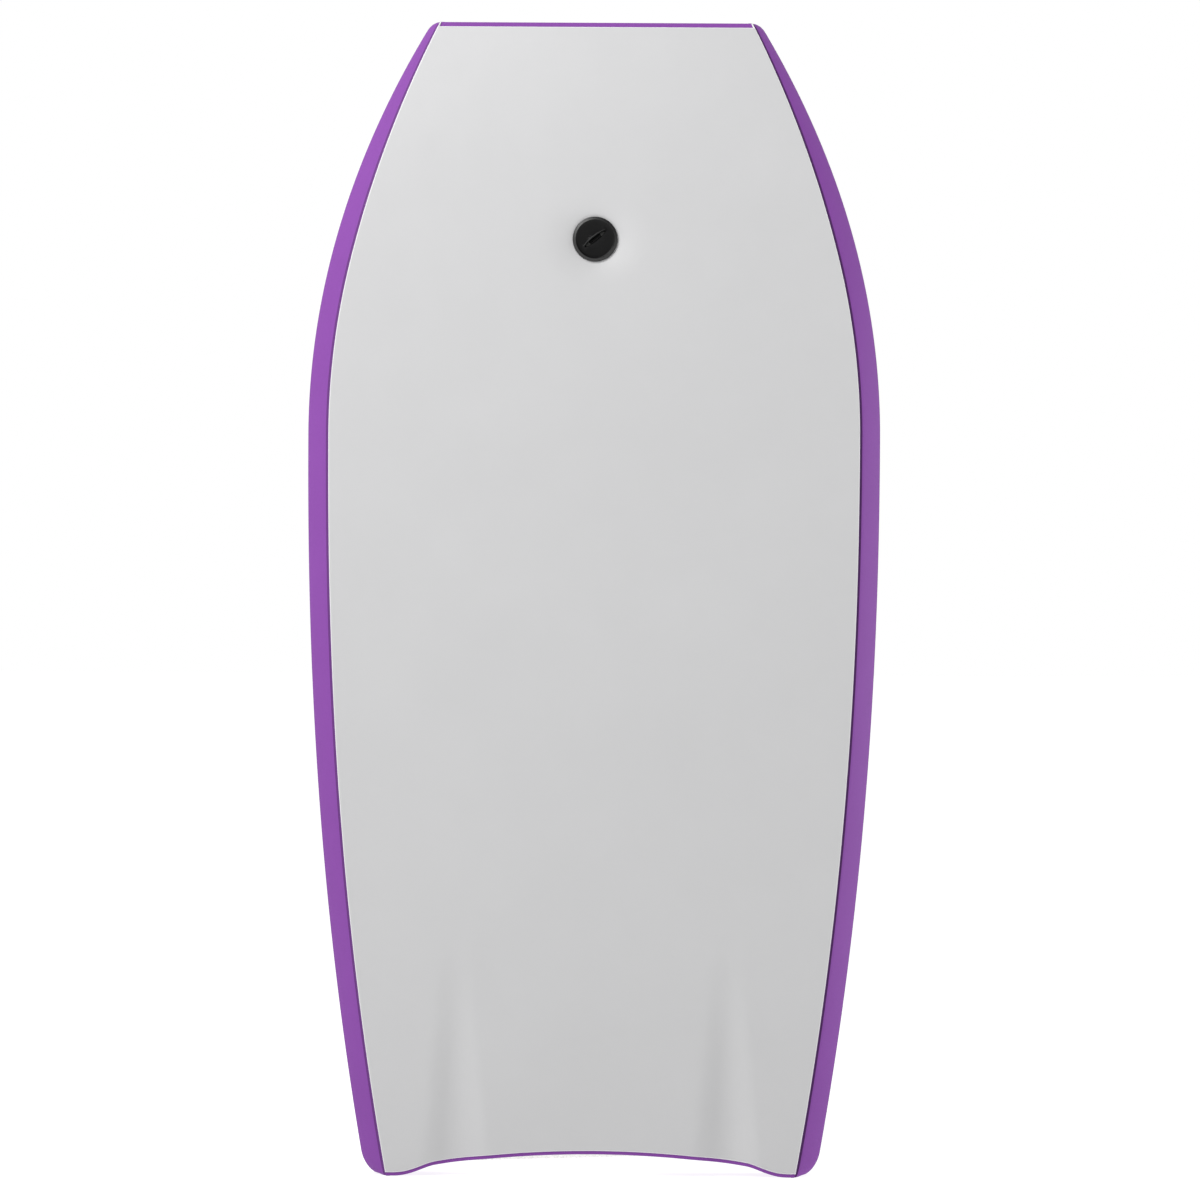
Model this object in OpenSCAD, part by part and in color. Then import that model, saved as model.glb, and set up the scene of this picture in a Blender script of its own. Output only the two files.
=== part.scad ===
// Bodyboard standing on its tail tips: nose up (+Z), slick facing -Y, deck facing +Y.
// Every piece is drawn lying down, as [across, from the nose, up from the slick], and stood up
// at the end by stand().

/* [Outline] */
// Length from the nose to the tail tips
board_len = 1041; // [860:1:1250]
// Width at the widest point
board_w = 516; // [430:1:620]
// Width across the nose
nose_w = 299; // [250:1:360]
// Width across the tail, before its corners are rounded
tail_w = 406; // [360:1:480]
// Distance from the nose to the widest point
wide_at = 375; // [310:1:460]
// How late the outline draws in towards the tail (2 is a parabola)
tail_fullness = 2.2; // [1.6:0.1:2.8]
// Length over which a nose corner is rounded
nose_corner = 7; // [6:0.5:24]
// Length over which a tail corner is rounded
tail_corner = 22; // [12:1:40]
// Depth of the crescent cut in the tail
crescent = 20; // [4:1:40]
// Flat left at each tail tip, which the board stands on
tip_w = 10; // [9:1:20]
// Length of the S-curve between a tail tip and the crescent
tip_blend = 38; // [20:1:60]

/* [Thickness and rocker] */
// Thickness over the middle of the board
board_t = 52; // [42:1:64]
// Thickness at the nose
nose_t = 34; // [28:1:42]
// Thickness at the tail
tail_t = 42; // [34:1:50]
// How far the slick lifts at the nose
nose_lift = 38; // [20:1:50]
// Length of the bend that lifts the nose
rocker_run = 330; // [260:1:400]
// How much of the bend lies at its nose end (2 is a parabola)
rocker_curve = 3; // [2:0.5:3.5]
// Length over which the board thins towards the nose
nose_taper = 380; // [250:1:450]
// Length over which the board thins towards the tail
tail_taper = 260; // [150:1:350]

/* [Skins and rails] */
// Thickness of the slick sheet
slick_t = 1.2; // [0.8:0.1:2]
// Thickness of the deck foam
deck_t = 5; // [3:0.5:8]
// Thickness of the rail strips
rail_t = 8; // [5:0.5:12]
// Thickness of the nose and tail strips
bumper_t = 8; // [5:0.5:12]
// Share of the thickness below the widest line of the rail
rail_split = 0.4; // [0.3:0.05:0.6]
// Width of the bevelled lower rail, seen from below
chine_w = 19.3; // [12:0.1:26]
// Width of the bevelled lower rail at the nose
nose_chine_w = 8; // [6:0.5:12]
// Length over which the bevel narrows towards the nose
chine_run = 220; // [120:1:320]
// How far the upper rail leans in towards the deck
side_lean = 6; // [2:0.5:14]
// Width of the rounded edge of the deck foam
deck_edge = 3; // [1:0.5:6]
// How far the slick covers the foot of the lower rail
slick_tuck = 4; // [2:0.5:8]
// Strip left bare between the slick and the nose edge
nose_bare = 4.2; // [1:0.1:4.5]
// Strip left bare between the slick and the tail edge
tail_bare = 3.3; // [1:0.1:4.5]

/* [Tail channels] */
// Length of each channel
channel_len = 240; // [150:1:320]
// Width of each channel at the tail
channel_w = 66; // [40:1:76]
// Depth of each channel at the tail
channel_depth = 7; // [3:0.5:10]
// Distance from the middle of the board to the middle of a channel
channel_x = 122; // [100:1:134]

/* [Leash plug] */
// Distance from the nose to the plug
plug_at = 198.6; // [150:0.2:240]
// Depth to which the plug pulls the slick in
dimple_depth = 3.2; // [1.6:0.1:3.4]
// Radius of the hollow around the plug
dimple_r = 60; // [50:1:75]
// Diameter of the screw head
head_d = 40.5; // [34:0.5:50]
// Thickness of the screw head
head_t = 2.6; // [2.2:0.1:5]
// Width of the bevel around the screw head
head_bevel = 2.6; // [1:0.1:4]
// Length of the coin slot
slot_len = 21.5; // [12:0.5:24]
// Width of the coin slot
slot_w = 3.2; // [1.5:0.1:4]
// Depth of the coin slot
slot_depth = 1.2; // [0.6:0.1:1.5]
// Turn of the coin slot
slot_turn = 38; // [0:1:180]
// Outer diameter of the screw thread
thread_d = 12; // [9:0.1:14.4]
// Wall of the socket that takes the screw
socket_wall = 3; // [2:0.1:4]
// Width of the flange around the cup, on the deck
flange_rim = 5; // [4:0.1:8]
// Thickness of the flange on the deck
flange_t = 2.5; // [2:0.1:4]
// Outer diameter of the leash cup
cup_d = 30; // [27:0.5:36]
// Wall and floor of the leash cup
cup_wall = 3; // [2:0.1:3.5]
// Depth of the leash cup
cup_depth = 15.5; // [12:0.5:17]
// Diameter of the pin that the leash is tied to
pin_d = 4; // [3:0.1:5]
// Depth of the pin below the top of the flange
pin_depth = 6; // [5.5:0.1:7]
// Thickness of the rubber gaskets
gasket_t = 1.5; // [1:0.1:2]
// Width of the ring under the flange
gasket_w = 3; // [2:0.1:3.5]
// Width of the ring under the screw head
seal_w = 6; // [4:0.1:7]

/* [Clearances] */
// Gap around the plug in the holes of the board
hole_gap = 0.2; // [0.1:0.05:0.5]
// Gap between the screw and its socket, on the radius
thread_gap = 0.05; // [0.02:0.01:0.1]
// Gap between the rim of the screw head and the slick
rim_gap = 0.2; // [0.1:0.05:0.4]

/* [Hidden] */
$fn = 96;

foam_white = "#f2f2ee";
slick_grey = "#d6d6d6";
rail_purple = "#9450ae";
deck_purple = "#8a4aa6";
plug_black = "#1e1e1e";

// Part of the crescent's depth that is lost before its S-curve ends
crescent_sweep = 0.85;
// Length of tail that follows the crescent, so that the cells of the loft stay even
crescent_run = 200;
// Width that the end of a rail keeps at its rounded corner
corner_rest = 4.5;
// Width of a channel at its start, as a share of its width at the tail
channel_start = 0.35;
// Flat kept around the screw head
seat_margin = 3;
// Socket left out between the slick and the stem, and beyond the end of the screw
stem_gap = 3;
end_gap = 1.5;
// Overrun of the cutting tools
cut = 1;

depth = max(board_t, nose_lift + nose_t);
seat_h = lift(plug_at) + dimple_depth;
seat_half = head_d / 2 + seat_margin;
stem_d = thread_d + 2 * socket_wall;
flange_d = cup_d + 2 * flange_rim;
seal_d = thread_d + 2 * seal_w;
flange_top = thick(plug_at) - dimple_depth;
cup_foot = flange_top - cup_depth - cup_wall;
flange_seat = flange_top - flange_t - gasket_t;
screw_len = cup_foot - end_gap;
crescent_half = outer_half(board_len) - tip_w;

// 1 at the edge, easing to 0 one run away from it
function ease(distance, run) = pow(max(0, 1 - distance / run), 2);

// 0 to 1 with soft ends
function soft(t) = let (c = min(1, max(0, t))) c * c * (3 - 2 * c);

// Half of the outline before its corners are rounded, at a distance from the nose
function half_w(s) = board_w / 2 - (s < wide_at
    ? (board_w - nose_w) / 2 * ease(s, wide_at)
    : (board_w - tail_w) / 2 * pow((s - wide_at) / (board_len - wide_at), tail_fullness));

// Quarter-round drop at the end of an edge: 1 at the end, 0 one run away
function round_off(distance, run) = 1 - sqrt(1 - pow(max(0, 1 - distance / run), 2));

function chine(s) = chine_w - (chine_w - nose_chine_w) * ease(s, chine_run);
function corner(s) = round_off(s, nose_corner) + round_off(board_len - s, tail_corner);
function outer_half(s) = half_w(s) - (chine(s) - corner_rest) * corner(s);
function slick_half(s) = half_w(s) - chine(s);
function foot_half(s) = slick_half(s) - slick_tuck;
function deck_half(s) = outer_half(s) - side_lean;

function lift(s) = nose_lift * pow(max(0, 1 - s / rocker_run), rocker_curve);
function thick(s) = board_t
    - (board_t - nose_t) * ease(s, nose_taper)
    - (board_t - tail_t) * ease(board_len - s, tail_taper);
function apex_h(s) = lift(s) + rail_split * thick(s);
function deck_foot(s) = lift(s) + thick(s) - deck_t;

// The flat seat of the plug, blended into the slick around it
function seat_blend(x, s) =
    soft((dimple_r - norm([x, s - plug_at])) / (dimple_r - sqrt(2) * (seat_half + cut)));

// Depth of the pair of channels, which widen and deepen towards the tail
function channel(x, s) = let (
    along = max(0, 1 - (board_len - s) / channel_len),
    half = channel_w / 2 * (channel_start + (1 - channel_start) * along),
    across = min(1, abs(abs(x) - channel_x) / half))
    channel_depth * soft(along) * pow(1 - across * across, 2);

// Height of the slick's face
function slick_h(x, s) = let (seat = seat_blend(x, s))
    lift(s) * (1 - seat) + seat_h * seat + channel(x, s);

// Crescent: how far the tail edge is drawn in at a distance from the middle
function scoop(x) = crescent * (1 - crescent_sweep * pow(x / crescent_half, 2))
    * (1 - soft((abs(x) - crescent_half + tip_blend) / tip_blend));
function drawn_in(s) =
    pow(min(1, max(0, s - board_len + crescent_run) / (crescent_run - bumper_t)), 2);
function spot(x, s, h) = [x, s - scoop(x) * drawn_in(s), h];

// Columns of the loft, as shares of its half width: the plug's seat, then seven along a channel
channel_cols = [for (k = [-3:3]) (channel_x + k * channel_w / 6) / foot_half(board_len)];
seat_col = seat_half / foot_half(plug_at - seat_half);
side_cols = concat([seat_col, (seat_col + channel_cols[0]) / 2], channel_cols, [1]);
cols = concat([for (k = [len(side_cols) - 1:-1:0]) -side_cols[k]], [0], side_cols);
last_col = len(cols) - 1;

// Stations of the loft: even steps between the places where the shape changes
function steps(from, to, count) = [for (k = [0:count - 1]) from + (to - from) * k / count];
stations = concat(
    [0, nose_bare],
    steps(bumper_t, plug_at - dimple_r, 4),
    steps(plug_at - dimple_r, plug_at - seat_half, 1),
    steps(plug_at - seat_half, plug_at + seat_half, 1),
    steps(plug_at + seat_half, plug_at + dimple_r, 1),
    steps(plug_at + dimple_r, wide_at, 4),
    steps(wide_at, board_len - channel_len, 7),
    steps(board_len - channel_len, board_len - tail_corner, 7),
    steps(board_len - tail_corner, board_len - bumper_t, 3),
    [board_len - bumper_t, board_len - tail_bare, board_len]);
function between(from, to) = [for (s = stations) if (s >= from && s <= to) s];

function across(s, half, rise) = [for (v = cols) spot(v * half, s, slick_h(v * half, s) + rise)];
function level(s, half, h) = [for (k = [last_col:-1:0]) spot(cols[k] * half, s, h)];

// Cross-sections, each a ring of points that starts at its left edge and runs along its foot
function core_ring(s) = let (side = outer_half(s) - rail_t) concat(
    [spot(-side, s, apex_h(s))],
    across(s, foot_half(s), slick_t),
    [spot(side, s, apex_h(s))],
    level(s, deck_half(s) - rail_t, deck_foot(s)));

function deck_ring(s) = let (foot = level(s, deck_half(s) - rail_t, deck_foot(s))) concat(
    [spot(-deck_half(s), s, deck_foot(s))],
    [for (k = [last_col:-1:0]) foot[k]],
    [spot(deck_half(s), s, deck_foot(s))],
    level(s, deck_half(s) - deck_edge, deck_foot(s) + deck_t));

function slick_ring(s) = let (
    edge = slick_half(s),
    face = concat([spot(-edge, s, lift(s))], across(s, foot_half(s), 0), [spot(edge, s, lift(s))]),
    back = concat([spot(-edge, s, lift(s) + slick_t)], across(s, foot_half(s), slick_t),
        [spot(edge, s, lift(s) + slick_t)]))
    concat(face, [for (k = [len(back) - 1:-1:0]) back[k]]);

function lower_rail_ring(s) = [
    spot(foot_half(s), s, slick_h(foot_half(s), s) + slick_t),
    spot(slick_half(s), s, lift(s) + slick_t),
    spot(outer_half(s), s, apex_h(s)),
    spot(outer_half(s) - rail_t, s, apex_h(s))];

function upper_rail_ring(s) = [
    spot(outer_half(s) - rail_t, s, apex_h(s)),
    spot(outer_half(s), s, apex_h(s)),
    spot(deck_half(s), s, deck_foot(s)),
    spot(deck_half(s) - rail_t, s, deck_foot(s))];

// Skins a list of rings. A cell is always split from its inner corner at one ring to its outer
// corner at the next, so that two pieces that share a surface share its facets too. Where both are
// as far out, the lower one counts as the inner. pointed says that the rings start and turn at a
// single point, and not at an edge.
module loft(rings, pointed = true) {
    count = len(rings[0]);
    total = len(rings) * count;
    far = total - count;
    function reach(r, k) = let (p = rings[r][k % count]) abs(p[0]) + p[2] / 1000;
    function cell(a, b, c, d, outward) =
        outward ? [[a, c, b], [a, d, c]] : [[a, d, b], [b, d, c]];
    walls = [for (r = [0:len(rings) - 2], k = [0:count - 1])
        let (a = r * count + k, b = r * count + (k + 1) % count)
        each cell(a, b, b + count, a + count, reach(r, k) < reach(r, k + 1))];
    pairs = pointed
        ? [for (k = [0:count / 2 - 1]) [k, k + 1, count - k - 1, (count - k) % count]]
        : [for (k = [0:count / 2 - 2]) [k, k + 1, count - k - 2, count - k - 1]];
    triangles = [for (p = pairs) each [[p[0], p[1], p[2]], [p[0], p[2], p[3]]]];
    flat = [for (t = triangles) if (t[0] != t[1] && t[1] != t[2] && t[2] != t[0]) t];
    start = flat;
    end = [for (t = flat) [t[2] + far, t[1] + far, t[0] + far]];
    polyhedron([for (r = rings) each r], concat(start, walls, end), convexity = 4);
}

module stand() translate([0, -depth / 2, board_len]) rotate([-90, 0, 0]) children();
module at_plug() translate([0, plug_at, seat_h]) children();
module bore(d, from, to) at_plug() translate([0, 0, from]) cylinder(d = d, h = to - from);

module washer(inner, outer, from, thickness)
    translate([0, 0, from]) difference() {
        cylinder(d = outer, h = thickness);
        translate([0, 0, -cut]) cylinder(d = inner, h = thickness + 2 * cut);
    }

module foam_core() color(foam_white) stand() difference() {
    loft([for (s = between(bumper_t, board_len - bumper_t)) core_ring(s)]);
    bore(stem_d + 2 * hole_gap, -board_t, board_t);
    bore(cup_d + 2 * hole_gap, cup_foot, 2 * board_t);
}

module slick_skin() color(slick_grey) stand() difference() {
    loft([for (s = between(nose_bare, board_len - tail_bare)) slick_ring(s)], false);
    bore(thread_d + 2, -board_t, board_t / 2);
}

module deck_skin() color(deck_purple) stand() difference() {
    loft([for (s = stations) deck_ring(s)]);
    bore(cup_d + 2 * hole_gap, cup_foot, 2 * board_t);
    bore(flange_d + 2 * hole_gap, flange_seat, 2 * board_t);
}

module lower_rail() color(rail_purple) loft([for (s = stations) lower_rail_ring(s)], false);
module upper_rail() color(rail_purple) loft([for (s = stations) upper_rail_ring(s)], false);
module lower_rail_right() stand() lower_rail();
module lower_rail_left() stand() mirror([1, 0, 0]) lower_rail();
module upper_rail_right() stand() upper_rail();
module upper_rail_left() stand() mirror([1, 0, 0]) upper_rail();

module nose_bumper() color(rail_purple) stand()
    loft([for (s = between(0, bumper_t)) core_ring(s)]);
module tail_bumper() color(rail_purple) stand()
    loft([for (s = between(board_len - bumper_t, board_len)) core_ring(s)]);

module leash_cup() color(plug_black) stand() at_plug() difference() {
    union() {
        translate([0, 0, stem_gap]) cylinder(d = stem_d, h = cup_foot + cut - stem_gap);
        translate([0, 0, cup_foot]) cylinder(d = cup_d, h = flange_top - cup_foot);
        translate([0, 0, flange_top - flange_t]) cylinder(d = flange_d, h = flange_t);
    }
    translate([0, 0, stem_gap - cut])
        cylinder(d = thread_d + 2 * thread_gap, h = cup_foot - stem_gap + cut);
    translate([0, 0, flange_top - cup_depth]) cylinder(d = cup_d - 2 * cup_wall, h = cup_depth + cut);
    pin_rod(cup_d + 2 * cut);
}

// The pin, or the hole for it
module pin_rod(length)
    translate([0, 0, flange_top - pin_depth]) rotate([0, 90, 0])
        cylinder(d = pin_d, h = length, center = true);

module leash_pin() color("silver") stand() at_plug() pin_rod(cup_d - 1);

module cup_gasket() color(plug_black) stand() at_plug()
    washer(cup_d + 2 * hole_gap, cup_d + 2 * gasket_w, flange_seat, gasket_t);

module screw_gasket() color(plug_black) stand() at_plug()
    washer(thread_d + 2 * hole_gap, seal_d, -gasket_t, gasket_t);

module plug_screw() color(plug_black) stand() at_plug() difference() {
    rotate_extrude() polygon([
        [0, -rim_gap - head_t],
        [head_d / 2 - head_bevel, -rim_gap - head_t],
        [head_d / 2, -rim_gap - head_t / 2],
        [head_d / 2, -rim_gap],
        [seal_d / 2 + hole_gap, -rim_gap],
        [seal_d / 2 + hole_gap, -gasket_t],
        [thread_d / 2, -gasket_t],
        [thread_d / 2, screw_len - cut],
        [thread_d / 2 - cut, screw_len],
        [0, screw_len]]);
    rotate([0, 0, -slot_turn]) translate([0, 0, -rim_gap - head_t])
        cube([slot_len, slot_w, 2 * slot_depth], center = true);
}

foam_core();
slick_skin();
deck_skin();
lower_rail_left();
lower_rail_right();
upper_rail_left();
upper_rail_right();
nose_bumper();
tail_bumper();
leash_cup();
leash_pin();
cup_gasket();
screw_gasket();
plug_screw();
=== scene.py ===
import math

import bpy
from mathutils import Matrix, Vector


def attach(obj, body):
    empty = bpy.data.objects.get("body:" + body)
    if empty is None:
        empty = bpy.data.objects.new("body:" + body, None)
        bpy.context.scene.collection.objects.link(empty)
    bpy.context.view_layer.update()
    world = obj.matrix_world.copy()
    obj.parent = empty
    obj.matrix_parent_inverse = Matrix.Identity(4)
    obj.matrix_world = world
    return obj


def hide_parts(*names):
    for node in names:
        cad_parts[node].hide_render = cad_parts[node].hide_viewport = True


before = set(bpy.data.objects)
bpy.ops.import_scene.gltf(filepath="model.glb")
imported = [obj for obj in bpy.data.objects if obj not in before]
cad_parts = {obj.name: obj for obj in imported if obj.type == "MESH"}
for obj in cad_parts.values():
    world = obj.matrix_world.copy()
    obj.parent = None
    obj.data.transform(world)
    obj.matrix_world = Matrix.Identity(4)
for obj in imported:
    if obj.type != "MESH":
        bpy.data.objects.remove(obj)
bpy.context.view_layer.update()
print("bodyboard: frame loaded")

# Metres. Across is +X, out of the slick is -Y, and the nose is up.
board = {
    "length": 1.041, "width": 0.516, "noseWidth": 0.299, "tailWidth": 0.406, "wideAt": 0.375,
    "tailFullness": 2.2, "noseCorner": 0.007, "tailCorner": 0.022, "cornerRest": 0.0045,
    "crescent": 0.020, "crescentSweep": 0.85, "crescentRun": 0.200, "tip": 0.010, "tipBlend": 0.038,
    "thick": 0.052, "noseThick": 0.034, "tailThick": 0.042, "noseTaper": 0.380, "tailTaper": 0.260,
    "noseLift": 0.038, "rockerRun": 0.330, "rockerCurve": 3, "railSplit": 0.4,
    "chine": 0.0193, "noseChine": 0.008, "chineRun": 0.220, "sideLean": 0.006, "depth": 0.072,
    "railWall": 0.008, "bumper": 0.008, "tuck": 0.004,
}
plug = {"at": 0.1986, "dimple": 0.0032, "hollow": 0.050, "well": 0.0150, "wellDepth": 0.0018,
        "boss": 0.0136, "gather": 0.55, "gatherRun": 0.060, "head": 0.0405}
channels = {"length": 0.240, "width": 0.066, "depth": 0.007, "offset": 0.122, "start": 0.35}


def clamp(value, low=0.0, high=1.0):
    return min(high, max(low, value))


def ease(distance, run):
    return max(0.0, 1 - distance / run) ** 2


def soft(t):
    t = clamp(t)
    return t * t * (3 - 2 * t)


def roundOff(distance, run):
    return 1 - math.sqrt(1 - max(0.0, 1 - distance / run) ** 2)


def halfWidth(s):
    widest = board["width"] / 2
    if s < board["wideAt"]:
        return widest - (board["width"] - board["noseWidth"]) / 2 * ease(s, board["wideAt"])
    late = (s - board["wideAt"]) / (board["length"] - board["wideAt"])
    return widest - (board["width"] - board["tailWidth"]) / 2 * late ** board["tailFullness"]


def chineWidth(s):
    return board["chine"] - (board["chine"] - board["noseChine"]) * ease(s, board["chineRun"])


def outerHalf(s):
    corner = roundOff(s, board["noseCorner"]) + roundOff(board["length"] - s, board["tailCorner"])
    return halfWidth(s) - (chineWidth(s) - board["cornerRest"]) * corner


def slickHalf(s):
    return halfWidth(s) - chineWidth(s)


def footHalf(s):
    return slickHalf(s) - board["tuck"]


def deckHalf(s):
    return outerHalf(s) - board["sideLean"]


def lift(s):
    return board["noseLift"] * max(0.0, 1 - s / board["rockerRun"]) ** board["rockerCurve"]


def thickness(s):
    return (board["thick"] - (board["thick"] - board["noseThick"]) * ease(s, board["noseTaper"])
            - (board["thick"] - board["tailThick"]) * ease(board["length"] - s, board["tailTaper"]))


def apexHeight(s):
    return lift(s) + board["railSplit"] * thickness(s)


def deckFoot(s):
    return lift(s) + thickness(s) - deck["sheet"]


seatHeight = lift(plug["at"]) + plug["dimple"]


def channelDepth(x, s):
    along = max(0.0, 1 - (board["length"] - s) / channels["length"])
    half = channels["width"] / 2 * (channels["start"] + (1 - channels["start"]) * along)
    across = min(1.0, abs(abs(x) - channels["offset"]) / half)
    return channels["depth"] * soft(along) * (1 - across ** 2) ** 2


def slickHeight(x, s):
    # The hollow is steepest beside the plug, where it ends in a well round the boss under the head
    reach = math.hypot(x, s - plug["at"])
    seat = clamp((plug["hollow"] - reach) / (plug["hollow"] - plug["well"])) ** 2
    well = soft((reach - plug["boss"]) / (plug["well"] - plug["boss"]))
    sunk = seatHeight + plug["wellDepth"] * well
    return lift(s) * (1 - seat) + sunk * seat + channelDepth(x, s)


def gather(distance):
    # Draws the lines of a grid together around the plug
    return distance * (1 - plug["gather"] * math.exp(-(distance / plug["gatherRun"]) ** 2))


crescentHalf = outerHalf(board["length"]) - board["tip"]


def place(x, s, h):
    # A point across the board, from the nose and up from the slick, with the crescent drawn in
    scoop = (board["crescent"] * (1 - board["crescentSweep"] * (x / crescentHalf) ** 2)
             * (1 - soft((abs(x) - crescentHalf + board["tipBlend"]) / board["tipBlend"])))
    run = board["crescentRun"]
    late = max(0.0, s - board["length"] + run) / (run - board["bumper"])
    s -= scoop * min(1.0, late) ** 2
    return (x, h - board["depth"] / 2, board["length"] - s)


endCrowding = 0.58


def stationAt(t, first, last):
    # Even steps that close up towards both ends
    crowded = 0.5 - 0.5 * math.cos(math.pi * t)
    return first + (last - first) * ((1 - endCrowding) * t + endCrowding * crowded)


def deselectAll():
    if bpy.context.object and bpy.context.object.mode != "OBJECT":
        bpy.ops.object.mode_set(mode="OBJECT")
    bpy.ops.object.select_all(action="DESELECT")


def started(name):
    piece = bpy.context.object
    piece.name = piece.data.name = name
    return piece


def edit(piece, pick=None, mode="VERT"):
    # Opens a piece with only the picked vertices, edges or faces selected
    deselectAll()
    piece.select_set(True)
    bpy.context.view_layer.objects.active = piece
    bpy.ops.object.mode_set(mode="EDIT")
    bpy.ops.mesh.select_mode(type=mode)
    bpy.ops.mesh.select_all(action="DESELECT" if pick else "SELECT")
    if pick:
        bpy.ops.object.mode_set(mode="OBJECT")
        mesh = piece.data
        for item in {"VERT": mesh.vertices, "EDGE": mesh.edges, "FACE": mesh.polygons}[mode]:
            item.select = bool(pick(item))
        bpy.ops.object.mode_set(mode="EDIT")


def closeEdit():
    bpy.ops.object.mode_set(mode="OBJECT")


def modify(piece, kind, **settings):
    deselectAll()
    piece.select_set(True)
    bpy.context.view_layer.objects.active = piece
    step = piece.modifiers.new(kind.title(), kind)
    for key, value in settings.items():
        setattr(step, key, value)
    bpy.ops.object.modifier_apply(modifier=step.name)


def outward(piece):
    edit(piece)
    bpy.ops.mesh.normals_make_consistent(inside=False)
    closeEdit()


def lay(piece, rule):
    # Moves every vertex of a flat piece to its place on the board
    for vertex in piece.data.vertices:
        vertex.co = rule(*vertex.co)


def slab(name, columns, rows):
    # A flat sheet of unit size and thickness: u and v run from -0.5 to 0.5, and w from 0 to 1
    deselectAll()
    bpy.ops.mesh.primitive_grid_add(x_subdivisions=columns, y_subdivisions=rows, size=1)
    piece = started(name)
    modify(piece, "SOLIDIFY", thickness=1.0, offset=1.0)
    return piece


def wrapped(name, ringCount, rows, rule):
    # A grid rolled into a tube by rule(part of the ring, part of the length), with its ends filled
    deselectAll()
    bpy.ops.mesh.primitive_grid_add(x_subdivisions=ringCount, y_subdivisions=rows, size=1)
    piece = started(name)
    lay(piece, lambda u, v, w: rule(u + 0.5, v + 0.5))
    edit(piece)
    bpy.ops.mesh.remove_doubles(threshold=1e-6)
    bpy.ops.mesh.select_all(action="DESELECT")
    bpy.ops.mesh.select_mode(type="EDGE")
    bpy.ops.mesh.select_non_manifold(extend=False, use_wire=False, use_boundary=True,
                                     use_multi_face=False, use_non_contiguous=False, use_verts=False)
    bpy.ops.mesh.edge_face_add()
    closeEdit()
    return piece


def turned(name, profile, steps=96):
    # A closed profile of (radius, height) spun about the plug's axis; height runs towards the deck
    deselectAll()
    bpy.ops.mesh.primitive_circle_add(vertices=len(profile), radius=1, fill_type="NOTHING")
    piece = started(name)
    for vertex, (radius, height) in zip(piece.data.vertices, profile):
        vertex.co = (radius, plugY(height), plugCentre.z)
    edit(piece)
    bpy.ops.mesh.spin(steps=steps, angle=2 * math.pi, center=plugCentre, axis=(0, 1, 0),
                      dupli=False)
    bpy.ops.mesh.select_all(action="SELECT")
    bpy.ops.mesh.remove_doubles(threshold=2e-6)
    bpy.ops.mesh.dissolve_degenerate(threshold=1e-7)
    bpy.ops.mesh.normals_make_consistent(inside=False)
    closeEdit()
    return piece


def outerRim(piece):
    # The edges where a face that looks out of the slick meets a side of the sheet
    facing = {}
    for face in piece.data.polygons:
        kind = "out" if face.normal.y < -0.6 else "side" if abs(face.normal.y) < 0.55 else "back"
        for pair in face.edge_keys:
            facing.setdefault(pair, set()).add(kind)
    return {line.index for line in piece.data.edges if facing[line.key] == {"out", "side"}}


def cut(piece, tool, operation="DIFFERENCE", materials="INDEX"):
    modify(piece, "BOOLEAN", object=tool, operation=operation, solver="EXACT",
           material_mode=materials)
    bpy.data.objects.remove(tool)


def rod(name, radius, low, high, vertices=64):
    # A solid cylinder on the plug's axis, between two heights
    deselectAll()
    middle = (0, (plugY(low) + plugY(high)) / 2, plugCentre.z)
    bpy.ops.mesh.primitive_cylinder_add(vertices=vertices, radius=radius, depth=high - low,
                                        location=middle, rotation=(math.pi / 2, 0, 0))
    piece = started(name)
    bpy.ops.object.transform_apply(location=True, rotation=True, scale=True)
    return piece


def smooth(piece, degrees=35):
    deselectAll()
    piece.select_set(True)
    bpy.context.view_layer.objects.active = piece
    bpy.ops.object.shade_smooth_by_angle(angle=math.radians(degrees))


def plugY(height):
    return seatHeight - board["depth"] / 2 + height


plugCentre = Vector((0, plugY(0), board["length"] - plug["at"]))


class Wire:
    # A socket that can be used in sums

    def __init__(self, nodes, socket):
        self.nodes, self.socket = nodes, socket

    def sum(self, operation, a, b):
        return self.nodes.node("ShaderNodeMath", {"operation": operation}, {0: a, 1: b})

    def __add__(self, other): return self.sum("ADD", self, other)
    def __radd__(self, other): return self.sum("ADD", other, self)
    def __sub__(self, other): return self.sum("SUBTRACT", self, other)
    def __rsub__(self, other): return self.sum("SUBTRACT", other, self)
    def __mul__(self, other): return self.sum("MULTIPLY", self, other)
    def __rmul__(self, other): return self.sum("MULTIPLY", other, self)


class Nodes:
    # A node tree, of a material or of the world

    def __init__(self, tree):
        self.tree = tree

    def wire(self, target, value):
        if isinstance(value, Wire):
            self.tree.links.new(value.socket, target)
        elif isinstance(value, (tuple, list)) and len(target.default_value) == 4 and len(value) == 3:
            target.default_value = (*value, 1)
        else:
            target.default_value = value

    def node(self, kind, settings=None, sockets=None, out=0):
        made = self.tree.nodes.new(kind)
        for key, value in (settings or {}).items():
            if key == "stops":
                ramp = made.color_ramp
                while len(ramp.elements) < len(value):
                    ramp.elements.new(0.5)
                for element, (at, shade) in zip(ramp.elements, value):
                    element.position, element.color = at, (shade, shade, shade, 1)
            else:
                setattr(made, key, value)
        for key, value in (sockets or {}).items():
            self.wire(made.inputs[key], value)
        return Wire(self, made.outputs[out])

    def ramp(self, value, *stops):
        return self.node("ShaderNodeValToRGB", {"stops": stops}, {"Fac": value})


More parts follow.
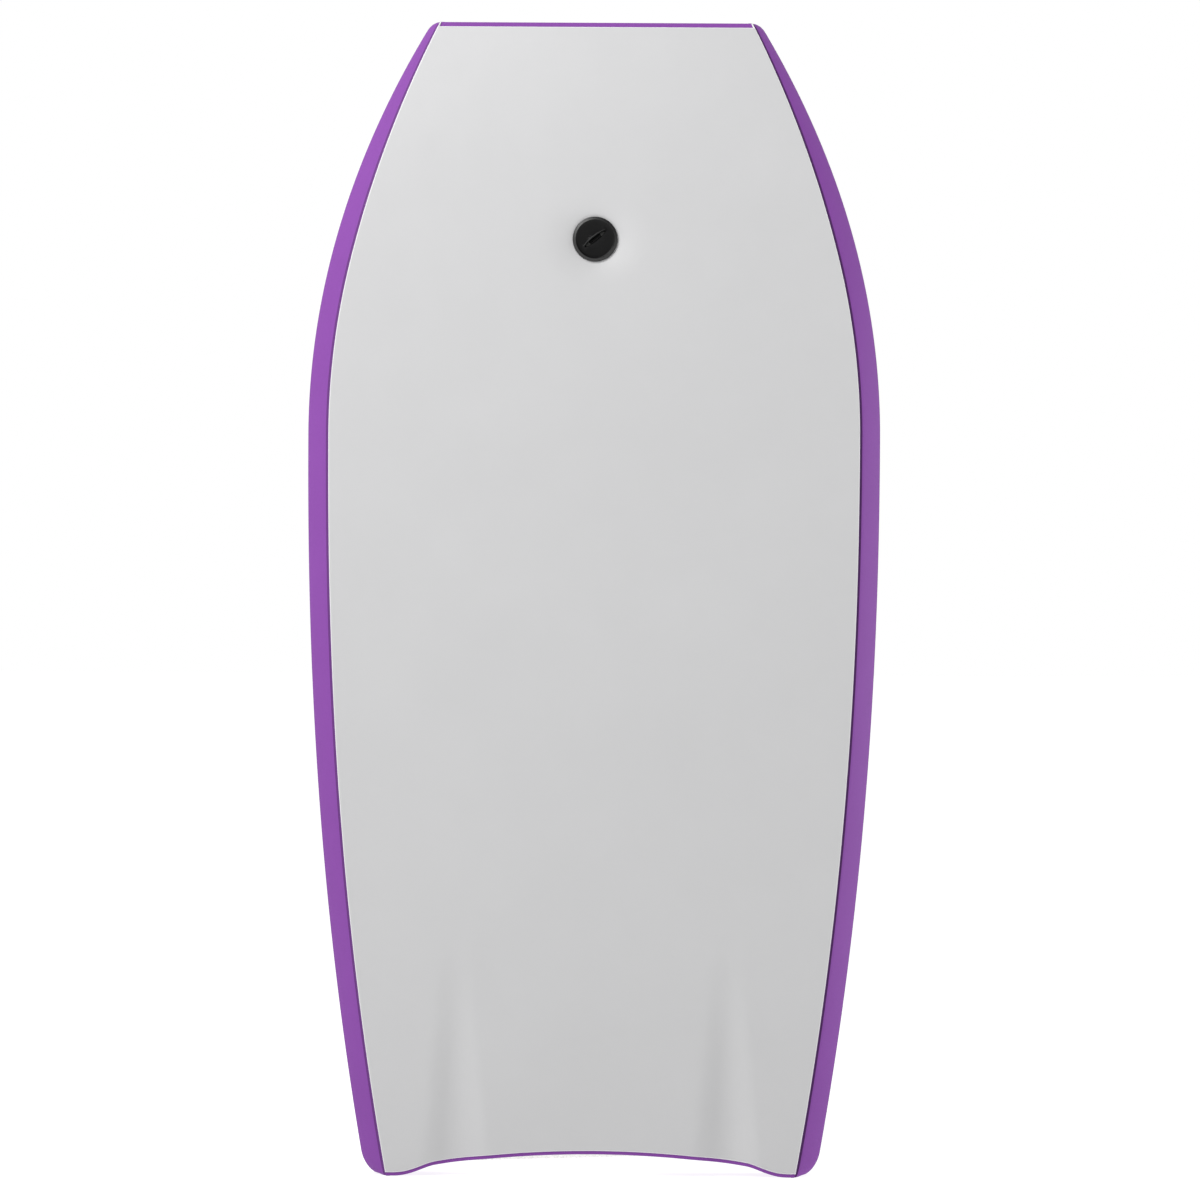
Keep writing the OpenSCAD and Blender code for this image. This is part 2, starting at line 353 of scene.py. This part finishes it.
class Finish(Nodes):
    # A material on object coordinates

    def __init__(self, name, **values):
        self.material = bpy.data.materials.new(name)
        self.material.use_nodes = True
        super().__init__(self.material.node_tree)
        self.shader = self.tree.nodes["Principled BSDF"]
        for key, value in values.items():
            self.put(key, value)

    def put(self, socket, value):
        self.wire(self.shader.inputs[socket], value)

    def where(self, stretch=(1, 1, 1)):
        spot = self.node("ShaderNodeTexCoord", out="Object")
        return self.node("ShaderNodeVectorMath", {"operation": "MULTIPLY"}, {0: spot, 1: stretch})

    def noise(self, scale, detail=3, rough=0.5, stretch=(1, 1, 1)):
        return self.node("ShaderNodeTexNoise", None, {
            "Vector": self.where(stretch), "Scale": scale, "Detail": detail, "Roughness": rough})

    def cells(self, scale, feature="F1"):
        return self.node("ShaderNodeTexVoronoi", {"feature": feature},
                         {"Vector": self.where(), "Scale": scale}, "Distance")

    def mix(self, share, a, b):
        # The RGBA sockets of this node are inputs 6 and 7 and output 2
        return self.node("ShaderNodeMix", {"data_type": "RGBA"}, {0: share, 6: a, 7: b}, 2)

    def bump(self, height, depth, strength=1.0, normal=None):
        sockets = {"Height": height, "Distance": depth, "Strength": strength}
        if normal:
            sockets["Normal"] = normal
        return self.node("ShaderNodeBump", None, sockets)


def dress(piece, *finishes):
    piece.data.materials.clear()
    for finish in finishes:
        piece.data.materials.append(finish.material)


sheetLook = {"colour": (0.496, 0.496, 0.501), "cutColour": (0.66, 0.65, 0.67), "rough": 0.40}


def shades(colour, spread):
    # A little darker and a little lighter than a colour
    return tuple(c * (1 - spread) for c in colour), tuple(c * (1 + spread) for c in colour)


def makeSheet(name, colour, rough):
    finish = Finish(name, **{"IOR": 1.5, "Specular IOR Level": 0.35})
    clouds = finish.noise(11, 4, 0.6)                       # faint unevenness from lamination
    beads = finish.noise(170, 2, 0.5)                       # foam beads that show through the sheet
    patches = finish.ramp(clouds, (0.25, 0.0), (0.75, 1.0))
    finish.put("Base Color", finish.mix(patches, *shades(colour, 0.015)))
    drag = finish.noise(60, 5, 0.7, (1, 1, 0.06))           # long faint rubs along the board
    cross = finish.noise(90, 4, 0.7, (0.08, 1, 1))
    rubs = (finish.ramp(drag, (0.60, 0.0), (0.66, 1.0)) * 0.6
            + finish.ramp(cross, (0.63, 0.0), (0.68, 1.0)) * 0.3)
    finish.put("Roughness", rough + clouds * 0.08 - 0.04 + rubs * 0.10)
    peel = finish.noise(900, 2, 0.5)
    wide = finish.bump(finish.noise(26, 2, 0.4), 0.0006, 0.5)
    bead = finish.bump(beads, 0.00012, 0.5, wide)
    finish.put("Normal", finish.bump(peel - rubs * 0.5, 0.00003, 0.5, bead))
    return finish


foamLook = {"rail": (0.194, 0.049, 0.292), "deck": (0.250, 0.062, 0.375), "rough": 0.62}


def makeFoam(name, colour, pore, depth, embossed=False):
    finish = Finish(name, **{"IOR": 1.45, "Specular IOR Level": 0.3})
    patches = finish.noise(16, 4, 0.6)
    grain = finish.noise(pore * 1.7, 3, 0.6)
    holes = finish.cells(pore)
    shade = finish.ramp(patches, (0.3, 0.0), (0.7, 1.0))
    base = finish.mix(shade, *shades(colour, 0.03))
    pits = finish.ramp(holes, (0.05, 0.0), (0.35, 1.0))
    dark = finish.mix(pits, tuple(c * 0.80 for c in colour), base)
    finish.put("Base Color", dark)
    finish.put("Roughness", foamLook["rough"] + grain * 0.16 - 0.08)
    skin = finish.bump(grain + pits * 0.8, depth, 0.6)
    if embossed:
        tiles = finish.cells(embossed, "DISTANCE_TO_EDGE")
        skin = finish.bump(finish.ramp(tiles, (0.03, 0.0), (0.22, 1.0)), 0.0004, 0.8, skin)
    finish.put("Normal", skin)
    return finish


sheetFinish = makeSheet("slick_sheet_satin", sheetLook["colour"], sheetLook["rough"])
cutFinish = makeSheet("slick_sheet_cut_edge", sheetLook["cutColour"], 0.55)
railFinish = makeFoam("rail_foam_purple", foamLook["rail"], 950, 0.00012)
# Darker copies of the rail foam for the grooves beside the slick: painted shade, not dirt
grooveShadeFinish = {}
for side, share in ((-1, 0.60), (1, 0.46)):                 # painted shade, darker in the right groove, which the slick's edge shades from the key
    grooveShadeColour = tuple(c * share for c in foamLook["rail"])
    grooveShadeFinish[side] = makeFoam("rail_foam_groove_painted_shade", grooveShadeColour, 950, 0.00012)
deckFinish = makeFoam("deck_foam_purple", foamLook["deck"], 800, 0.00012, 420)


def makePlastic(name, shine=0.18, rougher=0.0):
    finish = Finish(name, **{"IOR": 1.5, "Specular IOR Level": shine})
    grain = finish.noise(1500, 2, 0.5)
    smudge = finish.noise(120, 4, 0.6)
    finish.put("Base Color", finish.mix(smudge, (0.0015, 0.0015, 0.0016), (0.0036, 0.0036, 0.0038)))
    scuffs = finish.ramp(finish.noise(400, 5, 0.75, (1, 1, 0.15)), (0.58, 0.0), (0.64, 1.0))
    finish.put("Roughness", 0.26 + rougher + smudge * 0.10 + scuffs * 0.14)
    finish.put("Normal", finish.bump(grain + scuffs * 0.4, 0.00003, 0.5))
    return finish


def makeRubber(name):
    finish = Finish(name, **{"IOR": 1.45, "Specular IOR Level": 0.25})
    grain = finish.noise(900, 4, 0.6)
    finish.put("Base Color", finish.mix(grain, (0.012, 0.012, 0.012), (0.026, 0.026, 0.025)))
    finish.put("Roughness", 0.70 + grain * 0.2)
    finish.put("Normal", finish.bump(grain, 0.00008, 0.7))
    return finish


def makeSteel(name):
    finish = Finish(name, **{"Metallic": 1.0})
    brush = finish.noise(700, 4, 0.6, (0.04, 1, 1))
    finish.put("Base Color", finish.mix(brush, (0.52, 0.52, 0.54), (0.70, 0.70, 0.72)))
    finish.put("Roughness", 0.22 + brush * 0.22)
    finish.put("Normal", finish.bump(brush, 0.00002, 0.6))
    return finish


def makeBeads(name):
    finish = Finish(name, **{"IOR": 1.4, "Specular IOR Level": 0.3})
    edges = finish.cells(280, "DISTANCE_TO_EDGE")
    join = finish.ramp(edges, (0.0, 0.0), (0.10, 1.0))
    finish.put("Base Color", finish.mix(join, (0.80, 0.80, 0.77), (0.94, 0.94, 0.91)))
    finish.put("Roughness", 0.75 - join * 0.12)
    finish.put("Normal", finish.bump(join, 0.0004, 0.8))
    return finish


plasticFinish = makePlastic("plug_black_nylon")
# The slot's copy of the plastic shines far less: painted shade in the slot
slotShadeFinish = makePlastic("plug_slot_black_painted_shade", 0.05)
# The rim's copy of the plastic shines more: a painted highlight on the bevel
rimHighlightFinish = makePlastic("plug_rim_black_painted_highlight", 0.62, 0.16)
rubberFinish = makeRubber("gasket_black_rubber")
steelFinish = makeSteel("pin_brushed_steel")
beadFinish = makeBeads("core_bead_foam")
print("bodyboard: finishes made")


def finishPiece(piece, body, slotName, *nodes, fill=None):
    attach(piece, body)
    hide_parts(*nodes)


# Deck: a foam sheet with a rounded rim
deck = {"sheet": 0.005, "rimRound": 0.0026, "columns": 96, "rows": 220, "flangeHole": 0.0202}


def buildDeck():
    piece = slab("deck_sheet", deck["columns"], deck["rows"])
    rim = {v.index for v in piece.data.vertices
           if v.co.z > 0.5 and max(abs(v.co.x), abs(v.co.y)) > 0.5 - 1e-5}

    def rule(u, v, w):
        s = stationAt(0.5 - v, 0, board["length"])
        half = deckHalf(s)
        return place(2 * u * half, s, deckFoot(s) + w * deck["sheet"])

    edge = {line.index for line in piece.data.edges if set(line.vertices) <= rim}
    lay(piece, rule)
    outward(piece)
    edit(piece, lambda line: line.index in edge, "EDGE")
    bpy.ops.mesh.bevel(offset=deck["rimRound"], segments=4, profile=0.5, affect="EDGES",
                       clamp_overlap=True)
    closeEdit()
    cut(piece, rod("tool", deck["flangeHole"], 0.030, 0.080))
    smooth(piece, 40)
    dress(piece, deckFinish)
    finishPiece(piece, "board", "deck_foam", "deck_skin", fill=1.0)


buildDeck()
print("bodyboard: deck made")


# Slick: a thin sheet with a paler, bevelled cut edge
slick = {"sheet": 0.0012, "noseBare": 0.0042, "tailBare": 0.0033, "cutBevel": 0.0007,
         "columns": 120, "rows": 230, "edgeStrip": 0.0016, "tongue": 0.0037, "screwHole": 0.0070,
         "near": 0.0001}


def buildSlick():
    piece = slab("slick_sheet", slick["columns"], slick["rows"])
    inner = 0.5 - 1 / slick["columns"]              # the outermost columns are the edge strips

    def rule(u, v, w):
        s = stationAt(0.5 - v, slick["noseBare"], board["length"] - slick["tailBare"])
        s = plug["at"] + gather(s - plug["at"])
        half, strip = slickHalf(s), slick["edgeStrip"]
        share = (abs(u) - inner) / (0.5 - inner)
        x = half - strip * (1 - share) if share > 0 else gather((half - strip) * abs(u) / inner)
        x = math.copysign(x, u)
        return place(x, s, slickHeight(x, s) + w * slick["sheet"])

    lay(piece, rule)
    outward(piece)
    noseEdge = board["length"] - slick["noseBare"] - slick["near"]
    stripFrom = slickHalf(slick["noseBare"]) - slick["edgeStrip"] - slick["near"]
    slope = lift(0) - lift(slick["tongue"])
    spread = slickHalf(slick["noseBare"]) - slickHalf(slick["noseBare"] - slick["tongue"])
    for side in (-1, 1):                            # a tongue runs on to the nose by each rail
        edit(piece, lambda face: face.center.z > noseEdge and side * face.center.x > stripFrom
             and abs(face.normal.z) > 0.7, "FACE")
        bpy.ops.mesh.extrude_region_move(TRANSFORM_OT_translate={
            "value": (-side * spread, slope, slick["tongue"])})
        closeEdit()
    dress(piece, sheetFinish, cutFinish)
    edge = outerRim(piece)
    edit(piece, lambda line: line.index in edge, "EDGE")
    bpy.ops.mesh.bevel(offset=slick["cutBevel"], segments=2, profile=0.5, affect="EDGES",
                       clamp_overlap=True, material=1)
    closeEdit()
    cut(piece, rod("tool", slick["screwHole"], -0.010, 0.010))
    smooth(piece, 30)
    finishPiece(piece, "board", "slick_sheet", "slick_skin")


buildSlick()
print("bodyboard: slick made")


# Rails: foam strips, the lower pair grooved beside the slick
rail = {"rows": 240, "corner": 0.0010, "crown": 0.0006, "endBevel": 0.0008,
        "grooveWidth": 0.0034, "grooveLeft": 0.0009, "grooveRight": 0.0015,
        "grooveCurve": ((0.0, 0.35), (0.12, 0.9), (0.5, 1.0), (0.88, 0.6), (1.0, 0.12), (1.15, 0.0)),
        "grooveFaces": (2, 3, 4, 5)}


def along(a, b, part, out=0.0):
    # A point part of the way from a to b, moved out to the left of that line
    run = (b[0] - a[0], b[1] - a[1])
    length = math.hypot(*run)
    return (a[0] + run[0] * part + run[1] / length * out,
            a[1] + run[1] * part - run[0] / length * out)


def lowerProfile(s, side):
    depth = rail["grooveLeft"] if side < 0 else rail["grooveRight"]
    wall, sheet = board["railWall"], slick["sheet"]
    foot = (footHalf(s), slickHeight(footHalf(s), s) + sheet)
    edge = (slickHalf(s), lift(s) + sheet)
    apex = (outerHalf(s), apexHeight(s))
    inner = (outerHalf(s) - wall, apexHeight(s))
    face = math.dist(edge, apex)
    groove = min(0.45, rail["grooveWidth"] / face)
    points = [foot, along(foot, edge, 0.5)]
    for part, sink in rail["grooveCurve"]:
        points.append(along(edge, apex, groove * part, -depth * sink))
    start = groove * rail["grooveCurve"][-1][0]
    for k in range(1, 8):
        part = start + (1 - start) * k / 8
        bulge = rail["crown"] * math.sin(math.pi * (part - groove) / (1 - groove))
        points.append(along(edge, apex, part, bulge))
    points.append(along(edge, apex, 1 - rail["corner"] / face))
    points.append(along(apex, inner, 0.5 * rail["corner"] / wall, 0.0))
    points.append(along(apex, inner, 0.35))
    points += [along(apex, inner, 0.7), inner]
    points += [along(inner, foot, k / 5) for k in range(1, 5)]
    return points


def upperProfile(s, side):
    wall = board["railWall"]
    inner = (outerHalf(s) - wall, apexHeight(s))
    apex = (outerHalf(s), apexHeight(s))
    top = (deckHalf(s), deckFoot(s))
    back = (deckHalf(s) - wall, deckFoot(s))
    face = math.dist(apex, top)
    points = [inner, along(inner, apex, 0.5), along(inner, apex, 1 - rail["corner"] / wall)]
    points.append(along(apex, top, 0.5 * rail["corner"] / face))
    for k in range(1, 10):
        points.append(along(apex, top, k / 10, rail["crown"] * math.sin(math.pi * k / 10)))
    points += [top, along(top, back, 0.5), back]
    points += [along(back, inner, k / 5) for k in range(1, 5)]
    return points


def buildRail(name, profile, side, node):
    count = len(profile(0.3, side))

    def rule(u, v):
        s = stationAt(v, 0, board["length"])
        x, h = profile(s, side)[round(u * count) % count]
        return place(side * x, s, h)

    piece = wrapped(name, count, rail["rows"], rule)
    dress(piece, railFinish, grooveShadeFinish[side])
    # The groove faces take the darker foam: painted shade beside the slick's edge
    if profile is lowerProfile:
        piece.active_material_index = 1
        edit(piece, lambda face: len(face.vertices) == 4
             and face.index % count in rail["grooveFaces"], "FACE")
        bpy.ops.object.material_slot_assign()
        closeEdit()
    outward(piece)
    edit(piece, lambda face: len(face.vertices) > 4, "FACE")
    bpy.ops.mesh.region_to_loop()
    bpy.ops.mesh.bevel(offset=rail["endBevel"], segments=2, affect="EDGES", clamp_overlap=True)
    closeEdit()
    smooth(piece, 38)
    finishPiece(piece, "board", "rail_foam", node, fill=1.0)


buildRail("rail_lower_left", lowerProfile, -1, "lower_rail_left")
buildRail("rail_lower_right", lowerProfile, 1, "lower_rail_right")
buildRail("rail_upper_left", upperProfile, -1, "upper_rail_left")
buildRail("rail_upper_right", upperProfile, 1, "upper_rail_right")
print("bodyboard: rails made")


# Core: bead foam between the two sheets, the rails and the bumpers
core = {"low": 60, "high": 10, "rows": 170, "skin": 0.00004,
        "stemHole": 0.0092, "cupHole": 0.0152, "through": (-0.010, 0.060)}


def buildCore():
    low, high = core["low"], core["high"]
    count = low + high + 4

    def section(s, k):
        foot = footHalf(s) - core["skin"]
        apex = outerHalf(s) - board["railWall"] - core["skin"]
        top = deckHalf(s) - board["railWall"] - core["skin"]
        if k <= low:
            x = gather(-foot + 2 * foot * k / low)
            return x, slickHeight(x, s) + slick["sheet"] + core["skin"]
        if k == low + 1:
            return apex, apexHeight(s)
        if k == count - 1:
            return -apex, apexHeight(s)
        return top - 2 * top * (k - low - 2) / high, deckFoot(s) - core["skin"]

    def rule(u, v):
        s = stationAt(v, board["bumper"], board["length"] - board["bumper"])
        s = plug["at"] + gather(s - plug["at"])
        x, h = section(s, round(u * count) % count)
        return place(x, s, h)

    piece = wrapped("core_block", count, core["rows"], rule)
    outward(piece)
    below, above = core["through"]
    cut(piece, rod("tool", core["stemHole"], below, 0.040))
    cut(piece, rod("tool", core["cupHole"], deckLevel - cup["depth"] - cup["floor"], above))
    smooth(piece, 30)
    dress(piece, beadFinish)
    finishPiece(piece, "board", "eps_foam", "foam_core", fill=1.0)


# Bumpers: foam strips across the nose and the tail
bumper = {"columns": 160, "corner": 0.0014, "levels": 8, "toe": 0.05}


def bumperSection():
    # (depth into the board, share of the height) round a section, from the inner end of its foot
    deep, size, toe = board["bumper"], bumper["corner"], bumper["toe"]
    points = [(deep, 0.0), (deep * 0.7, 0.0), (slick["noseBare"], 0.0), (size, 0.0),
              (size * 0.3, toe * 0.24), (0.0, toe)]
    points += [(0.0, toe + (1 - toe) * k / bumper["levels"]) for k in range(1, bumper["levels"])]
    points += [(0.0, 1.0), (deep / 2, 1.0), (deep, 1.0)]
    points += [(deep, 1 - k / 6) for k in range(1, 6)]
    return points


def buildBumper(name, atTail, node):
    section = bumperSection()
    count = len(section)

    def rule(u, v):
        into, share = section[round(u * count) % count]
        s = board["length"] - into if atTail else into
        foot = footHalf(s)
        apex, top = outerHalf(s) - board["railWall"], deckHalf(s) - board["railWall"]
        low = slickHeight((2 * v - 1) * foot, s) + slick["sheet"]
        base = lift(s) + slick["sheet"]
        split = (apexHeight(s) - base) / (deckFoot(s) - base)
        half = (foot + (apex - foot) * share / split if share < split
                else apex + (top - apex) * (share - split) / (1 - split))
        return place((2 * v - 1) * half, s, low + (deckFoot(s) - low) * share)

    piece = wrapped(name, count, bumper["columns"], rule)
    outward(piece)
    smooth(piece, 38)
    dress(piece, railFinish)
    finishPiece(piece, "board", "rail_foam", node, fill=1.0)


buildBumper("bumper_nose", False, "nose_bumper")
buildBumper("bumper_tail", True, "tail_bumper")
print("bodyboard: bumpers made")


# Leash cup: socket, cup and rounded flange
deckLevel = thickness(plug["at"]) - plug["dimple"]          # top of the flange above the plug's seat
cup = {"bore": 0.00605, "stem": 0.0090, "stemFrom": 0.0030, "outer": 0.0150, "inner": 0.0120,
       "flange": 0.0200, "flangeSheet": 0.0025, "depth": 0.0155, "floor": 0.0030, "round": 0.0011}


def arc(centre, radius, start, end, steps=6):
    # Points on a quarter turn, in degrees
    angles = [math.radians(start + (end - start) * k / steps) for k in range(steps + 1)]
    return [(centre[0] + radius * math.cos(a), centre[1] + radius * math.sin(a)) for a in angles]


def buildCup():
    top, size = deckLevel, cup["round"]
    floor = top - cup["depth"]
    foot, under = floor - cup["floor"], top - cup["flangeSheet"]
    profile = [(cup["bore"], cup["stemFrom"] + 0.0005), (cup["bore"] + 0.0005, cup["stemFrom"]),
               (cup["stem"] - 0.0005, cup["stemFrom"]), (cup["stem"], cup["stemFrom"] + 0.0005),
               (cup["stem"], foot), (cup["outer"] - 0.0006, foot), (cup["outer"], foot + 0.0006),
               (cup["outer"], under), (cup["flange"] - 0.0003, under),
               (cup["flange"], under + 0.0003)]
    profile += arc((cup["flange"] - size, top - size), size, 0, 90)
    profile += arc((cup["inner"] + 0.0008, top - 0.0008), 0.0008, 90, 180, 4)
    profile += arc((cup["inner"] - 0.0015, floor + 0.0015), 0.0015, 0, -90, 5)
    profile += [(cup["bore"] + 0.0004, floor), (cup["bore"], floor - 0.0004)]
    piece = turned("leash_cup_shell", profile)
    smooth(piece, 35)
    dress(piece, plasticFinish)
    finishPiece(piece, "board", "plug_plastic", "leash_cup")


buildCup()
buildCore()


# Plug screw: dished head with a lipped coin slot, and a threaded shank
screw = {"gap": 0.0002, "head": 0.0026, "dish": 0.0005, "rimAt": 0.0176,
         "slotLength": 0.0236, "slotWidth": 0.0043, "slotDepth": 0.0023, "slotTurn": 38,
         "lip": 0.0014, "lipRise": 0.0005, "neck": 0.0030, "overlap": 0.0005, "edgeBevel": 0.00012,
         "crest": 0.0060, "root": 0.0052, "pitch": 0.0025, "shankTo": 0.0247, "seal": 0.0123}


def lens(name, length, width, depth, height):
    # A flattened ball in the line of the coin slot, with its middle at a height on the plug's axis
    deselectAll()
    bpy.ops.mesh.primitive_uv_sphere_add(segments=64, ring_count=32, radius=1,
                                         location=(0, plugY(height), plugCentre.z))
    piece = started(name)
    bpy.ops.object.transform_apply(location=True, rotation=True, scale=True)
    middle = (0, plugY(height), plugCentre.z)
    edit(piece)
    bpy.ops.transform.resize(value=(length / 2, depth, width / 2), center_override=middle)
    bpy.ops.transform.rotate(value=math.radians(screw["slotTurn"]), orient_axis="Y",
                             center_override=middle)
    closeEdit()
    return piece


def buildScrew():
    front, back = -screw["gap"] - screw["head"], -screw["gap"]
    edgeRadius, rimAt, dish = plug["head"] / 2, screw["rimAt"], screw["dish"]
    profile = [(0.0, front + dish), (0.009, front + dish * 0.96), (0.0145, front + dish * 0.82),
               (rimAt - 0.0012, front + dish * 0.66), (rimAt - 0.0007, front + dish * 0.45),
               (rimAt - 0.0003, front + 0.00006), (rimAt, front),
               (rimAt + 0.0004, front + 0.00012), (rimAt + 0.0011, front + 0.00046),
               (edgeRadius - 0.0005, front + 0.00104), (edgeRadius - 0.0002, front + 0.00125),
               (edgeRadius - 0.00004, front + 0.00160)]
    profile += [(edgeRadius, back - 0.0003), (edgeRadius - 0.0003, back), (screw["seal"], back),
                (screw["seal"], back + screw["overlap"]), (0.0, back + screw["overlap"])]
    head = turned("plug_screw_head", profile, 128)
    face = front + dish
    length, width, lip, rise = (screw[key] for key in ("slotLength", "slotWidth", "lip", "lipRise"))
    cut(head, lens("tool", length + 2 * lip, width + 2 * lip, rise, face), "UNION")
    dress(head, plasticFinish)
    slot = lens("tool", length, width, screw["slotDepth"], face - rise * 0.6)
    # Painted shade: the slot's faces take a finish that shines less than the head's
    dress(slot, slotShadeFinish)
    cut(head, slot, materials="TRANSFER")
    low, high, neck = back + 0.0002, screw["shankTo"], back + screw["neck"]

    def rule(u, v):
        turn, z = 2 * math.pi * u, low + (high - low) * v
        phase = ((z - low) / screw["pitch"] - u) % 1.0
        tooth = clamp(1.6 - 4.2 * abs(phase - 0.5))         # flat crest and flat root
        ends = clamp((high - z) / 0.0012) * clamp((z - neck) / 0.0015)
        radius = screw["root"] + (screw["crest"] - screw["root"]) * tooth * ends
        if z < neck:
            radius = screw["crest"] - 0.0002
        radius -= 0.0006 * clamp(1 - (high - z) / 0.0008)
        return (radius * math.cos(turn), plugY(z), plugCentre.z + radius * math.sin(turn))

    shank = wrapped("shank", 72, 168, rule)
    outward(shank)
    cut(head, shank, "UNION")
    # Painted highlight: the rim's bevel takes a finish that shines more than the head's
    head.data.materials.append(rimHighlightFinish.material)
    head.active_material_index = 2
    edit(head, lambda side: math.hypot(side.center.x, side.center.z - plugCentre.z) > rimAt
         and side.center.y < plugY(back - 0.0004), "FACE")
    bpy.ops.object.material_slot_assign()
    closeEdit()
    modify(head, "BEVEL", width=screw["edgeBevel"], segments=2, limit_method="ANGLE",
           angle_limit=math.radians(50))
    smooth(head, 35)
    finishPiece(head, "screw", "plug_plastic", "plug_screw")


buildScrew()
print("bodyboard: plug made")

for nodeName, finish in (("leash_pin", steelFinish), ("cup_gasket", rubberFinish),
                         ("screw_gasket", rubberFinish)):
    dress(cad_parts[nodeName], finish)


# Floor, light and camera
studio = {"floor": 60.0, "floorGlow": 0.86, "world": 1.0, "frontWorld": 0.05,
          "keyPower": 76.0, "keySize": 1.8, "keyAt": (-1.3, -1.6, 2.4),
          "fillPower": 18.0, "fillSize": 0.9, "fillAt": (2.2, 0.10, 0.5), "aim": (0, 0, 0.65)}
camera = {"lens": 150.0, "sensor": 36, "distance": 4.489, "height": 0.5181, "across": 0.0060,
          "roll": -0.3}


def buildStudio():
    deselectAll()
    bpy.ops.mesh.primitive_plane_add(size=studio["floor"])
    floor = started("studio_floor")
    paint = Finish("studio_floor_paint", **{
        "Base Color": (0.30, 0.30, 0.30), "Roughness": 0.9, "Specular IOR Level": 0.0,
        "Emission Color": (1, 1, 1), "Emission Strength": studio["floorGlow"]})
    dress(floor, paint)
    world = bpy.data.worlds.new("studio_air")
    bpy.context.scene.world = world
    world.use_nodes = True
    air = Nodes(world.node_tree)
    way = air.node("ShaderNodeTexCoord")
    upward = air.node("ShaderNodeSeparateXYZ", None, {0: way}, "Z")
    backward = air.node("ShaderNodeSeparateXYZ", None, {0: way}, "Y")
    high = air.ramp(upward, (0.10, 0.0), (0.22, 1.0))              # well above the horizon
    front = air.ramp(0 - backward, (0.0, 0.0), (0.30, 1.0))        # and on the side of the slick
    strength = studio["world"] - high * front * (studio["world"] - studio["frontWorld"])
    air.wire(world.node_tree.nodes["Background"].inputs["Color"], (1, 1, 1))
    air.wire(world.node_tree.nodes["Background"].inputs["Strength"], strength)
    for name in ("key", "fill"):
        at = Vector(studio[name + "At"])
        bpy.ops.object.light_add(type="AREA", location=at)
        lamp = bpy.context.object
        lamp.name = "studio_" + name
        lamp.data.energy, lamp.data.size = studio[name + "Power"], studio[name + "Size"]
        lamp.rotation_euler = (Vector(studio["aim"]) - at).to_track_quat("-Z", "Y").to_euler()


def buildCamera():
    y = -board["depth"] / 2 - camera["distance"]
    bpy.ops.object.camera_add(location=(camera["across"], y, camera["height"]),
                              rotation=(math.pi / 2, math.radians(camera["roll"]), 0))
    eye = bpy.context.object
    eye.data.lens, eye.data.sensor_width = camera["lens"], camera["sensor"]
    bpy.context.scene.camera = eye


deselectAll()
buildStudio()
buildCamera()
bpy.context.scene.view_settings.view_transform = "Standard"
print("bodyboard: studio made")
